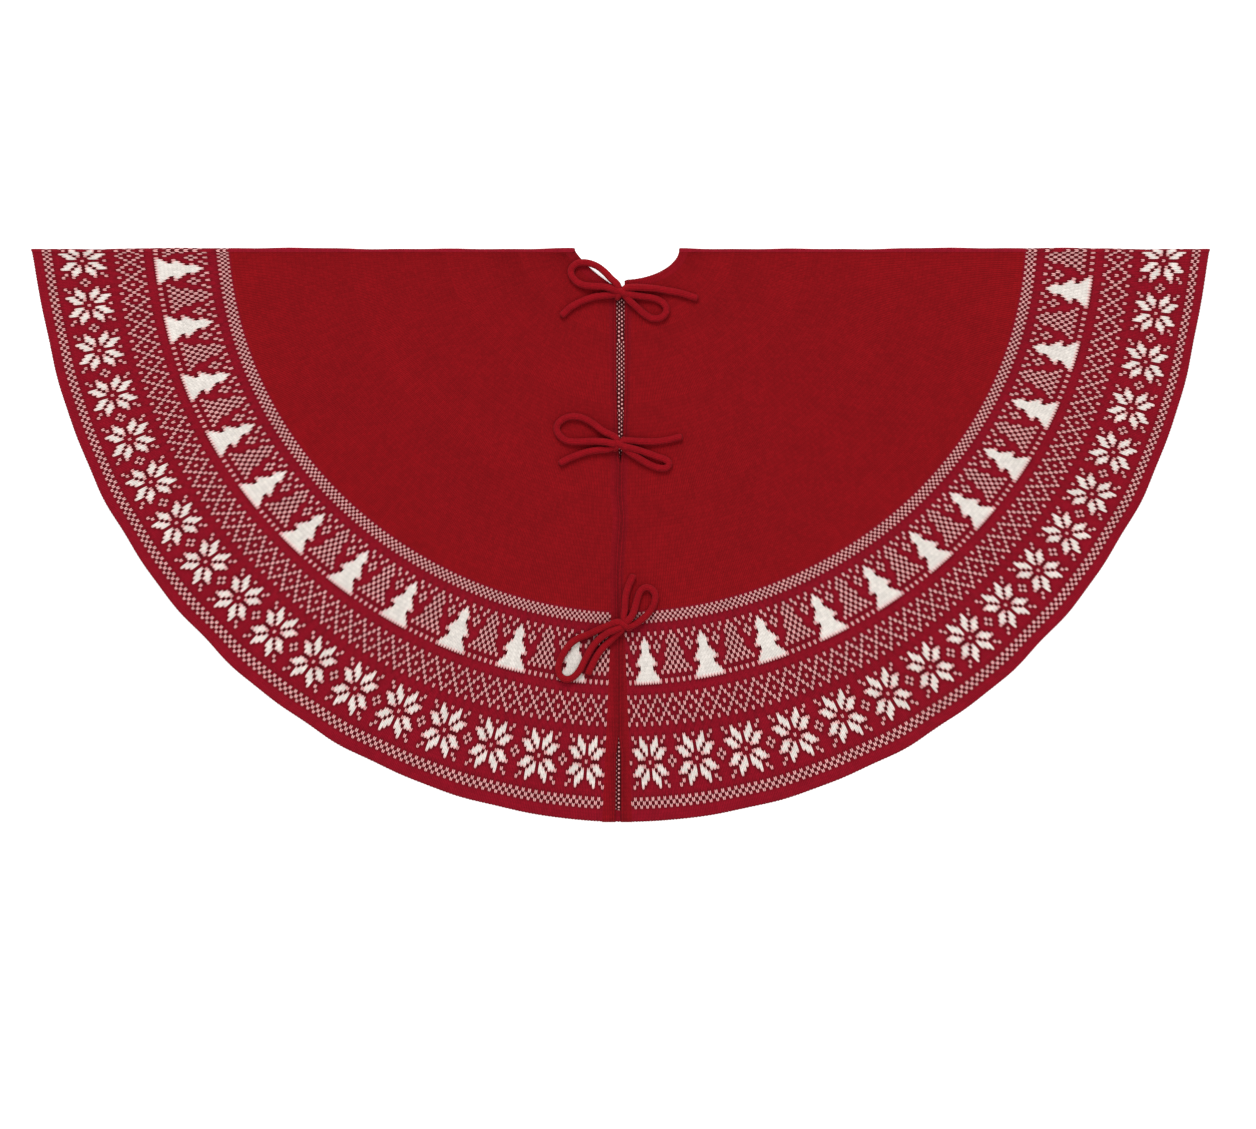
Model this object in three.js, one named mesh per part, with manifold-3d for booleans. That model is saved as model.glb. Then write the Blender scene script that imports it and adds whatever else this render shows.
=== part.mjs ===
// A knitted Christmas tree skirt, folded in half and laid flat, with its slit tied by three cord bows.
// Millimetres, +Z up. The skirt lies on Z = 0. Its fold runs along X on the +Y side; the slit points to -Y.
import * as THREE from "three";
import { mergeVertices } from "three/addons/utils/BufferGeometryUtils.js";
import Module from "manifold-3d";

// Driving dimensions of the cloth.
const HEM_RADIUS = 602; // the hem's circle
const FOLD_DROP = 7; // from the circle's middle to the fold
const HEM_FLARE = 8; // how much further out the hem stands at the ends of the fold
const FLARE_ANGLE = 0.22; // radians of hem, from the fold, that the flare takes
const BORDER_START = 0.637; // share of the hem radius, at the slit, where the patterned border starts
const HEM_START = 0.98; // share where the plain hem edge starts
const DRAWN_IN = { left: 0.01, right: 0 }; // share by which the hem is drawn in halfway round a side
const DRIFT = { left: 0.0445, right: 0.061 }; // share by which the rings lie further out at the fold
const DRIFT_POWER = 2.5; // how fast that drift grows towards the fold
const DRIFT_FADE = 0.16; // and how fast it fades towards the hem
const DRIFT_DIP = { left: 0.008, right: 0 }; // how much less the border's inner edge drifts
const DIP_WIDTH = 0.05; // share of the radius over which that is so
const LAYER = 3.6; // thickness of the double-knit cloth
const LAYER_GAP = 0.4; // between the two layers, across the fold's axis
const SEAM = 0.3; // clearance between neighbouring pieces
const NECK_BAND = 9; // width of the knitted edge round the neck
const SLIT_BAND = 11; // width of the plain band along each edge of the slit

// The neck edge on each side: its reach along the fold, its drop at the slit, and how full its curve is.
const NECK = {
  left: { reach: 47, drop: 42, fullness: 1.3, corner: 0 },
  right: { reach: 60.5, drop: 34, fullness: 2, corner: 5 },
};
const BACK_NECK_DROP = 43;
const CORNER_WIDTH = 8; // how far from the slit the cloth's top corner is rounded

// Half the slit's width at depths below the fold: it gapes above the middle bow and at the hem.
const SLIT = [[0, 4.2], [150, 3.8], [205, 2], [225, 0.6], [505, 0.6], [525, 2.2], [620, 2.8]];

// Driving dimensions of the ties.
const CORD = 7; // diameter of the knitted cord
const CORD_SIDES = 8;
const KNOT = [8.5, 8, 6]; // half sizes of a bow's knot
const TACK = { length: 8, width: 7, height: 1.4 }; // a tie's end, sewn flat to the slit's edge

// Routes of each bow's four strands: x and y from the fold's middle, z of the cord's centre above the cloth.
const BOWS = {
  top: {
    knot: [1, -47.5],
    left_loop: [
      [-3.5, -39.5, 10.5], [-9.4, -34, 8.5], [-15.6, -27.2, 6.5], [-24, -20.6, 5], [-34, -17, 4],
      [-43.5, -17.2, 3.8], [-50, -21.8, 3.8], [-50.9, -29, 3.8], [-45.9, -36.1, 4.2], [-38.3, -39.9, 5],
      [-27.8, -41.3, 6.2], [-17.2, -41.9, 8.5], [-9.5, -44, 10.5],
    ],
    left_tail: [
      [-4, -49.5, 6.6], [-12.4, -50.5, 6.2], [-20, -51.2, 4.8], [-27.8, -52.4, 3.9], [-39.5, -56.4, 3.8],
      [-51.2, -62.7, 3.8], [-61.2, -71.9, 3.8],
    ],
    right_loop: [
      [6, -49.5, 8.5], [12.2, -50.4, 7], [18.5, -51.3, 5.2], [26, -52.2, 4.2], [35.6, -54, 3.8],
      [44, -58.4, 3.8], [47.7, -65.4, 3.8], [43.9, -72.4, 3.8], [34.5, -74.6, 3.8], [25.1, -70.1, 4],
      [16.9, -63, 5.4], [9.6, -56.2, 7],
    ],
    right_tail: [
      [5, -43.5, 9], [12, -42.6, 8], [21.6, -42.6, 6.2], [34.5, -43.4, 4.6], [48.6, -45.6, 3.8],
      [62.7, -48.4, 3.8], [77.9, -53.1, 3.8],
    ],
  },
  middle: {
    knot: [-1.5, -204],
    left_loop: [
      [-5, -197.5, 10.5], [-16.7, -191.5, 8], [-26.1, -184.6, 5.6], [-34.4, -179.3, 4.2],
      [-43.9, -176, 3.8], [-54.5, -176.3, 3.8], [-62.8, -181.1, 3.8], [-66, -187.6, 3.8],
      [-63.4, -194.7, 3.8], [-56.9, -200.1, 3.8], [-48.6, -201.8, 4], [-37.9, -201.6, 5],
      [-26.1, -201.2, 7.6], [-14.8, -202.2, 10.4], [-8, -203.6, 11],
    ],
    left_tail: [
      [-6, -206.5, 6.6], [-13.4, -209.6, 5.6], [-21.3, -210, 4.8], [-33.3, -212, 3.9],
      [-45.1, -215.8, 3.8], [-54.5, -219.6, 3.8], [-61.6, -223.5, 3.8],
    ],
    right_loop: [
      [1.5, -206.4, 10], [9, -208, 8.6], [15.8, -209.6, 6.8], [26.4, -213, 4.4], [36.9, -216.8, 3.8],
      [46.3, -220, 3.8], [50.4, -224.6, 3.8], [46.6, -229, 3.8], [37.4, -228.2, 3.8], [28, -224.2, 4],
      [18.6, -218.6, 5], [7.6, -211.4, 6],
    ],
    right_tail: [
      [2, -201.1, 7.4], [8, -200.5, 7], [15.3, -201, 6], [27.1, -201.6, 4.2], [39, -201.4, 3.8],
      [50.9, -199.4, 3.8], [63.8, -196.2, 3.8],
    ],
  },
  bottom: {
    knot: [3.5, -391],
    left_loop: [
      [-4, -388, 11], [-11.9, -391.2, 9], [-22.6, -395.8, 6], [-33.2, -400.6, 4.4], [-42.7, -404.4, 3.8],
      [-50.4, -409.3, 3.8], [-56.9, -417, 3.8], [-61.6, -425.9, 3.8], [-64.2, -434.1, 3.8],
      [-63, -442.4, 3.8], [-56.3, -447.2, 3.8], [-48.6, -444.8, 3.8], [-42.4, -438, 3.8],
      [-38.2, -430.2, 3.8], [-34.4, -422.5, 3.8], [-29.8, -414.6, 4], [-23.2, -406.6, 5.4],
      [-13.7, -399.4, 8.8], [-5.5, -395.6, 10.6],
    ],
    left_tail: [
      [0.6, -396.5, 6.6], [-5, -401.6, 5.4], [-11, -407.4, 4], [-17.4, -413.8, 3.8], [-22.9, -420.9, 3.8],
      [-27.1, -428.3, 3.8], [-30.8, -435.8, 3.8], [-33.8, -442.3, 3.8],
    ],
    right_loop: [
      [9.5, -392, 8], [15, -390, 6.6], [21.6, -385.6, 4.6], [29, -378.9, 3.8], [34.3, -370, 3.8],
      [36, -361, 3.8], [32.2, -354, 3.8], [25.4, -352.2, 3.8], [19.9, -357, 3.8], [17.2, -364.9, 4],
      [15.1, -372.6, 5.4], [13, -379.4, 8.2], [9.4, -384.8, 10.2],
    ],
    right_tail: [
      [3.6, -386, 6.4], [3.8, -380.5, 5], [4.6, -376, 4.2], [4.8, -368.5, 3.8], [5.6, -360.5, 3.8],
      [7.8, -352.2, 3.8], [11, -344.6, 3.8], [13.6, -338.8, 3.8],
    ],
  },
};
const STEPS_PER_POINT = 2; // tube rings between the points of a route

const SKIRT_DEPTH = HEM_RADIUS - FOLD_DROP;
const FRONT_Z = LAYER + LAYER_GAP;
const CLOTH_TOP = FRONT_Z + LAYER;
const FOLD_EDGE = SEAM / 2; // each layer stops this far short of the fold's axis

const RED = new THREE.MeshStandardMaterial({ color: 0x8b1219, roughness: 0.95, metalness: 0 });
const PATTERN = new THREE.MeshStandardMaterial({ color: 0xb56a68, roughness: 0.95, metalness: 0 });
const CORD_RED = new THREE.MeshStandardMaterial({ color: 0x9b1120, roughness: 0.9, metalness: 0 });

const wasm = await Module();
wasm.setup();

// Half the slit's width at a depth below the fold.
function slitAt(depth) {
  const next = Math.max(1, SLIT.findIndex(([d]) => d >= depth));
  const [[d0, w0], [d1, w1]] = [SLIT[next - 1], SLIT[next]];
  return THREE.MathUtils.lerp(w0, w1, THREE.MathUtils.clamp((depth - d0) / (d1 - d0), 0, 1));
}

// The neck edge's depth at a distance from the slit, for one side of the front.
function neckAt(side, x) {
  const { reach, drop, fullness, corner } = NECK[side];
  const rounding = corner * Math.max(0, 1 - x / CORNER_WIDTH) ** 2;
  return drop * Math.max(0, 1 - (x / reach) ** fullness) ** (1 / fullness) + rounding;
}

// A ring's radius at an angle below the fold; share is its radius at the slit as a share of the hem's.
function ringRadius(side, share, angle) {
  const flare = HEM_FLARE * Math.max(0, 1 - angle / FLARE_ANGLE) ** 2 * share ** 4;
  const hem = HEM_RADIUS * (1 - DRAWN_IN[side] * Math.sin(2 * angle));
  const reach = 1 - Math.exp((share - 1) / DRIFT_FADE);
  const dip = DRIFT_DIP[side] * Math.exp(-(((share - BORDER_START) / DIP_WIDTH) ** 2));
  const drift = (DRIFT[side] * reach - dip) * Math.max(0, Math.cos(angle)) ** DRIFT_POWER;
  return (share + drift) * hem + flare;
}

// A ring's quarter from the fold to a distance from the slit, or to the middle when that is 0.
function ringQuarter(side, share, offset, slitSide) {
  const r = share * HEM_RADIUS + offset;
  const from = Math.asin((FOLD_DROP + FOLD_EDGE) / (ringRadius(side, share, 0) + offset));
  const to = Math.acos(slitSide(r - FOLD_DROP) / r);
  const steps = Math.round(6 + r / 30);
  return Array.from({ length: steps + 1 }, (_, i) => {
    const angle = THREE.MathUtils.lerp(from, to, i / steps);
    const radius = ringRadius(side, share, angle) + offset;
    return new THREE.Vector2(radius * Math.cos(angle), FOLD_DROP - radius * Math.sin(angle));
  });
}

// The neck's edge on one side, from the fold to the slit band, moved outward by offset.
function neckQuarter(side, offset, slitSide) {
  const steps = 14;
  const { reach } = NECK[side];
  const near = slitSide(NECK[side].drop);
  const line = Array.from({ length: steps + 1 }, (_, i) => {
    const x = reach * Math.cos((i / steps) * Math.acos(near / reach));
    return new THREE.Vector2(x, -neckAt(side, x));
  });
  return pushedOut(line, offset);
}

// A line of points moved away from the neck's middle, with its first point kept on the fold's edge.
function pushedOut(line, offset) {
  return line.map((p, i) => {
    const a = line[Math.max(0, i - 1)];
    const b = line[Math.min(line.length - 1, i + 1)];
    const along = b.clone().sub(a).normalize();
    const moved = p.clone().add(new THREE.Vector2(-along.y, along.x).multiplyScalar(offset));
    if (i === 0) return new THREE.Vector2(p.x + offset, -FOLD_EDGE);
    if (i === line.length - 1) return new THREE.Vector2(p.x, p.y - offset);
    return new THREE.Vector2(moved.x, Math.min(moved.y, -FOLD_EDGE));
  });
}

// The slit side of a front panel between two depths: the slit's own bends that lie between them, in order.
function slitLine(from, to, slitSide) {
  const bends = SLIT.map(([depth]) => depth).filter((d) => d > Math.min(from, to) && d < Math.max(from, to));
  if (from > to) bends.reverse();
  return bends.map((depth) => new THREE.Vector2(slitSide(depth), -depth));
}

// A closed slab of cloth from its outline, with its underside at z.
function slab(name, outline, z, material) {
  const geometry = new THREE.ExtrudeGeometry(new THREE.Shape(outline), { depth: LAYER, bevelEnabled: false });
  const mesh = new THREE.Mesh(geometry, material);
  mesh.name = name;
  mesh.position.z = z;
  return mesh;
}

const mirrored = (points) => points.map((p) => new THREE.Vector2(-p.x, p.y)).reverse();

// The slab between two lines that both run from the fold to the slit, on one side of the front.
function frontPanel(name, side, inner, outer, slitSide, material) {
  const last = outer[outer.length - 1];
  const first = inner[inner.length - 1];
  const outline = [...outer, ...slitLine(-last.y, -first.y, slitSide), ...inner.slice().reverse()];
  return slab(name, side === "left" ? mirrored(outline) : outline, FRONT_Z, material);
}

// The pieces of cloth on one side of the front.
function frontCloth(side) {
  const beyondBand = (depth) => slitAt(depth) + SLIT_BAND + SEAM;
  const neckOf = (offset) => neckQuarter(side, offset, beyondBand);
  const ringOf = (share, offset) => ringQuarter(side, share, offset, beyondBand);
  const panel = (piece, inner, outer, material) =>
    frontPanel(`${side}_front_${piece}`, side, inner, outer, beyondBand, material);
  return [
    panel("neck_edge", neckOf(0), neckOf(NECK_BAND), RED),
    panel("field", neckOf(NECK_BAND + SEAM), ringOf(BORDER_START, -SEAM), RED),
    panel("border", ringOf(BORDER_START, 0), ringOf(HEM_START, -SEAM), PATTERN),
    panel("hem_edge", ringOf(HEM_START, 0), ringOf(1, 0), RED),
    slitBand(side),
  ];
}

// The plain band along one edge of the slit, from the neck to the hem.
function slitBand(side) {
  const steps = 4;
  const top = Array.from({ length: steps + 1 }, (_, i) => {
    const x = slitAt(NECK[side].drop) + (SLIT_BAND * (steps - i)) / steps;
    return new THREE.Vector2(x, -neckAt(side, x));
  });
  const [outerX, innerX] = [slitAt(SKIRT_DEPTH) + SLIT_BAND, slitAt(SKIRT_DEPTH)];
  const outerSide = (depth) => slitAt(depth) + SLIT_BAND;
  const hemAt = (x) => FOLD_DROP - Math.sqrt(HEM_RADIUS ** 2 - x * x);
  const foot = [outerX, innerX].map((x) => new THREE.Vector2(x, hemAt(x)));
  const outline = [
    ...top,
    ...slitLine(-top[steps].y, SKIRT_DEPTH, slitAt),
    foot[1],
    foot[0],
    ...slitLine(SKIRT_DEPTH, -top[0].y, outerSide),
  ];
  const turned = side === "left" ? mirrored(outline) : outline;
  return slab(`${side}_slit_band`, turned, FRONT_Z, RED);
}

// The four pieces of the back half, each reaching from one end of the fold to the other.
function backCloth() {
  const middle = () => 0;
  const ringOf = (share, offset) => [
    ...ringQuarter("right", share, offset, middle),
    ...mirrored(ringQuarter("left", share, offset, middle)).slice(1),
  ];
  const centre = (NECK.right.reach - NECK.left.reach) / 2;
  const reach = (NECK.right.reach + NECK.left.reach) / 2;
  const steps = 28;
  const neckOf = (offset) =>
    Array.from({ length: steps + 1 }, (_, i) => {
      const angle = (Math.PI * i) / steps;
      const y = -(BACK_NECK_DROP + offset) * Math.sin(angle);
      return new THREE.Vector2(centre + (reach + offset) * Math.cos(angle), Math.min(y, -FOLD_EDGE));
    });
  const panel = (piece, inner, outer, material) =>
    slab(`back_${piece}`, [...outer, ...inner.reverse()], 0, material);
  return [
    panel("neck_edge", neckOf(0), neckOf(NECK_BAND), RED),
    panel("field", neckOf(NECK_BAND + SEAM), ringOf(BORDER_START, -SEAM), RED),
    panel("border", ringOf(BORDER_START, 0), ringOf(HEM_START, -SEAM), PATTERN),
    panel("hem_edge", ringOf(HEM_START, 0), ringOf(1, 0), RED),
  ];
}

// A geometry as a manifold solid, and back.
function toSolid(geometry) {
  const bare = geometry.clone();
  bare.deleteAttribute("normal");
  bare.deleteAttribute("uv");
  const merged = mergeVertices(bare, 1e-4);
  const triVerts = new Uint32Array(merged.index.array);
  const vertProperties = merged.attributes.position.array;
  return new wasm.Manifold(new wasm.Mesh({ numProp: 3, vertProperties, triVerts }));
}

function toGeometry(solid) {
  const { vertProperties, triVerts } = solid.getMesh();
  const geometry = new THREE.BufferGeometry();
  geometry.setAttribute("position", new THREE.BufferAttribute(vertProperties, 3));
  geometry.setIndex(new THREE.BufferAttribute(triVerts, 1));
  geometry.computeVertexNormals();
  return geometry;
}

// A round cord along a route that lies on the cloth.
function cordTube(route, radius) {
  const curve = new THREE.CatmullRomCurve3(route.map(([x, y, z]) => new THREE.Vector3(x, y, z + CLOTH_TOP)));
  const section = new THREE.Shape(
    Array.from({ length: CORD_SIDES }, (_, i) => {
      const angle = ((i + 0.5) * 2 * Math.PI) / CORD_SIDES;
      return new THREE.Vector2(radius * Math.cos(angle), radius * Math.sin(angle));
    }),
  );
  const steps = route.length * STEPS_PER_POINT;
  return new THREE.ExtrudeGeometry(section, { extrudePath: curve, steps, bevelEnabled: false });
}

function knotBall([x, y], grow) {
  const [a, b, c] = KNOT.map((half) => half + grow);
  const ball = new THREE.SphereGeometry(1, 14, 9).scale(a, b, c);
  return ball.translate(x, y, CLOTH_TOP + SEAM + TACK.height + SEAM + KNOT[2]);
}

// One bow: its knot, its two loops and two tails trimmed round the knot, and the two sewn ends under it.
function bow(name, { knot, ...strands }) {
  const trim = toSolid(knotBall(knot, SEAM));
  const meshes = [new THREE.Mesh(knotBall(knot, 0), CORD_RED)];
  meshes[0].name = `${name}_knot`;
  for (const [strand, route] of Object.entries(strands)) {
    const pieces = toSolid(cordTube(route, CORD / 2)).subtract(trim).decompose();
    const longest = pieces.reduce((a, b) => (b.volume() > a.volume() ? b : a));
    const mesh = new THREE.Mesh(toGeometry(longest), CORD_RED);
    mesh.name = `${name}_${strand}`;
    meshes.push(mesh);
  }
  for (const [side, way] of [["left", -1], ["right", 1]]) {
    const { length, width, height } = TACK;
    const mesh = new THREE.Mesh(new THREE.BoxGeometry(length, width, height), CORD_RED);
    mesh.position.set(way * (slitAt(-knot[1]) + SEAM + length / 2), knot[1], CLOTH_TOP + SEAM + height / 2);
    mesh.name = `${name}_${side}_tack`;
    meshes.push(mesh);
  }
  return meshes;
}

const skirt = new THREE.Group();
skirt.position.y = SKIRT_DEPTH / 2;
skirt.add(...backCloth(), ...frontCloth("left"), ...frontCloth("right"));
for (const [name, routes] of Object.entries(BOWS)) skirt.add(...bow(name, routes));

export default skirt;
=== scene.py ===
"""A knitted Christmas tree skirt, folded in half and laid flat, its slit tied shut by three cord bows."""
import math

import bpy
import numpy as np
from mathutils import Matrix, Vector


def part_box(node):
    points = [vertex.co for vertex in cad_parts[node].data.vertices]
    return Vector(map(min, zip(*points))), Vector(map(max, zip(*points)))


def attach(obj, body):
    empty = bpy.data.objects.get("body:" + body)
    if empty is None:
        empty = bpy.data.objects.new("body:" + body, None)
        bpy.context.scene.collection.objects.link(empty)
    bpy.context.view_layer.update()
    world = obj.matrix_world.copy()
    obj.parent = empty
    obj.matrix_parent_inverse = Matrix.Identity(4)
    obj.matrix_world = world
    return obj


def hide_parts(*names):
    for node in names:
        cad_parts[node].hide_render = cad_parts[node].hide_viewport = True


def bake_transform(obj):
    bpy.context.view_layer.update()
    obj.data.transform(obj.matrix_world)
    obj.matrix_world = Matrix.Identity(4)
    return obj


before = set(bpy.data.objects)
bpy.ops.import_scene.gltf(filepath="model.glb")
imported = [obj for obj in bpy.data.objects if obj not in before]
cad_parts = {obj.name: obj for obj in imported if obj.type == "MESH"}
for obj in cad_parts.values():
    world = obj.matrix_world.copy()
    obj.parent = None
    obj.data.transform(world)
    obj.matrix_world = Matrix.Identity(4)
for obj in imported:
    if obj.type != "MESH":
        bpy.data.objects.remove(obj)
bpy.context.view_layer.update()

MM = 0.001  # metres in a millimetre

# The cloth's dimensions, in millimetres from the fold's middle, as in the CAD model.
HEM_RADIUS = 602.0
FOLD_DROP = 7.0  # how far the centre of the rings is above the fold
HEM_FLARE = 8.0  # how far the hem flares out at the fold
FLARE_ANGLE = 0.22
DRAWN_IN = {"left": 0.010, "right": 0.0}  # how much of its radius each side is drawn in, halfway round

# The rings' drift outwards at the fold, as shares of the radius, how fast it dies away round the skirt and
# towards the hem, and its dip where the left border starts.
DRIFT = {"left": 0.0445, "right": 0.061}
DRIFT_POWER = 2.5
DRIFT_FADE = 0.16
DRIFT_DIP = {"left": 0.008, "right": 0.0}
DIP_WIDTH = 0.05

# Where the border and the turned hem start, as shares of the hem's radius.
BORDER_START = 0.637
HEM_START = 0.980

# The cloth's thickness, and the gap between its layers.
LAYER = 3.6
LAYER_GAP = 0.4

# The neck: how far each side reaches along the fold and drops below it, how full its curve is, and how far
# its corner by the slit is rounded off.
NECK_BAND = 9.0
NECK = {
    "left": {"reach": 47.0, "drop": 42.0, "fullness": 1.3, "corner": 0.0},
    "right": {"reach": 60.5, "drop": 34.0, "fullness": 2.0, "corner": 5.0},
}
CORNER_WIDTH = 8.0
NECK_STEPS = 160  # the steps in which the neck's line is worked out
BACK_NECK = {"middle": 6.75, "half": 53.75, "drop": 43.0}

# Half the slit's width at depths below the fold; below 0 its two edges press together.
SLIT = ((0, 4.2), (150, 3.8), (205, 2.0), (225, -0.2), (505, -0.2), (525, 2.2), (620, 2.8))

FOLD_Y = 297.5  # the fold's place in the frame
HEM_DEPTH = HEM_RADIUS - FOLD_DROP
FRONT_Z = LAYER + LAYER_GAP
CLOTH_TOP = FRONT_Z + LAYER
FOLD_AXIS_Z = CLOTH_TOP / 2
BACK_LIFT = 0.1  # how far the back layer's turned edges lie off the floor
BACK_SLACK = 0.5  # how much of the front's slack waves the back layer takes
SURFACES = {
    "front": {"face": CLOTH_TOP, "inside": FRONT_Z + 0.05},
    "back": {"face": 0.3, "inside": LAYER - 0.1},
}
FOLD_PULL = {"face": 5.4, "inside": 2.4}  # how far short of the fold's line the flat cloth stops
FOLD_REACH = 10.0  # how far from the fold the stitches crowd together for that

# Where the plain band along the slit ends, from the slit's middle, at depths below the fold.
BAND_EDGE = {
    "left": ((30, 12), (375.3, 7.8), (595, 16.6)),
    "right": ((30, 12), (375.3, 4.7), (595, 14.0)),
}
SLIT_TOP = 45  # about how deep the neck is at the slit
SLIT_ROUND = 3.2  # how far from the slit its edges start to round off
SLIT_SHADE = 0.16  # painted shade: how much darker the yarn is painted down in the groove between the slit's edges
SHADE_COLUMNS = (1.4, 2.8)  # the stitches of the band over which it darkens
BAND_LAP = 0.4  # how far the band's edge lies over the cloth beside it

# The loose cloth's slack waves: how high they are, how far from the slit they start, how much further on they
# are full, and how far from the fold.
SLACK_HEIGHT = 0.9
SLACK_START = 70.0
SLACK_GROWTH = 120.0
SLACK_FOLD = 40.0

# The degrees by which each side's stitches lie out of their even spacing round the skirt.
PULL = {"left": 1.25, "right": 0.68}

# How far to the side the slit wanders, at depths below the fold, and how far from it the cloth goes along.
WANDER = ((210, 0), (255, -1.0), (280, 1.6), (313, -1.0), (338, -2.6), (400, -1.4), (480, -1.6), (595, -2.4))
WANDER_WIDTH = 45.0

# The field's zones of knitting, from the neck to the border: start and end, rows, stitches round a quarter.
FIELD_ZONES = ((0.0, 0.14, 11, 46), (0.14, 0.36, 17, 78), (0.36, 0.65, 23, 118), (0.65, 1.0, 27, 160))
NECK_COLUMNS = 26
SLIT_ROWS = 123
BEND_STEPS = 2  # the rows of stitches round a turned edge
INNER_COLUMNS = 242
OUTER_COLUMNS = 267

# How far the yarn stands out across a stitch: between stitches, on a leg, in the middle, on the other leg.
RELIEF = (-0.28, 0.22, -0.05, 0.22)
SLIT_RELIEF = (-0.22, 0.16, -0.02, 0.16)
NECK_RELIEF = (-0.22, 0.12, -0.02, 0.12)
ROLL_RELIEF = (-0.24, 0.18, -0.04, 0.18)
CORD_RELIEF = (-0.3, 0.22, -0.08, 0.22)
CORD_END_RELIEF = (-0.12, 0.1)
HEM_RELIEF = (-0.25, 0.12)
HIDDEN_RELIEF = (-0.25, 0.0)
PURL_RELIEF = (-0.1, 0.1)
WHITE_PROUD = 0.16  # how far the white yarn stands out of the red
END_ROW = 0.2  # the share of a patch's first and last row in which its stitches even out

# The border's bands from the neck side: the share of the radius where each ends, its rows, its pattern.
INNER_BANDS = ((0.6385, 1, "plain"), (0.6575, 4, "check"), (0.6725, 2, "plain"), (0.7620, 12, "trees"),
               (0.7720, 1, "plain"))
OUTER_BANDS = ((0.7805, 1, "plain"), (0.8340, 7, "lattice"), (0.8510, 2, "plain"), (0.9425, 13, "flakes"),
               (0.9560, 2, "plain"), (0.9770, 3, "check"), (0.9800, 1, "plain"))

# Half the width of the white tree's row, then the single stitches on both sides, counted from its middle.
TREE_REPEAT = 22
TREE_ROWS = (
    (-1, (2, 5, 8, 11)), (0, (3, 7, 10)), (1, (5, 9, 11)), (2, (4, 6, 10)), (1, (5, 9, 11)), (2, (8, 10)),
    (3, (9, 11)), (4, (8, 10)), (2, (7, 9, 11)), (3, (6, 8, 10)), (4, ()), (5, (7, 9, 11)),
)
FIRST_TREE = {"left": 13, "right": 8}  # the first tree's middle, in stitches from the slit band

LATTICE = ("X..X..", ".X...X", "..X.X.", "X..X..", "..X.X.", ".X...X", "X..X..")
FLAKE = (
    "..X..X..X..X..X.",
    "...X.XX...XX.X..",
    ".....XXX.XXX....",
    "..XXX.XX.XX.XXX.",
    "...XXX.X.X.XXX..",
    "X...XXX...XXX...",
    ".X......X......X",
    "X...XXX...XXX...",
    "...XXX.X.X.XXX..",
    "..XXX.XX.XX.XXX.",
    ".....XXX.XXX....",
    "...X.XX...XX.X..",
    "..X..X.....X..X.",
)
FLAKE_MIDDLE = 8
FIRST_FLAKE = {"left": 6, "right": 7}  # the first flake's middle, in stitches from the slit band

# The ties' knitted cord: its diameter, the stitches round it, the length of a row, and its twist.
CORD = 7.0
CORD_WALES = 6
CORD_ROW = 3.6
CORD_TWIST = 0.004
TIE_RADIUS = CORD / 2 - 0.1  # the middle of the yarn's relief
KNOT_RADIUS = CORD / 2 - 0.5  # the cord is pulled tight in the knots
TACK_FLAT = 0.28  # how thick a sewn end is, as a share of its width
TACK_LENGTH = 0.55  # how long it is between its rounded ends, as a share of its place in the CAD

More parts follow.
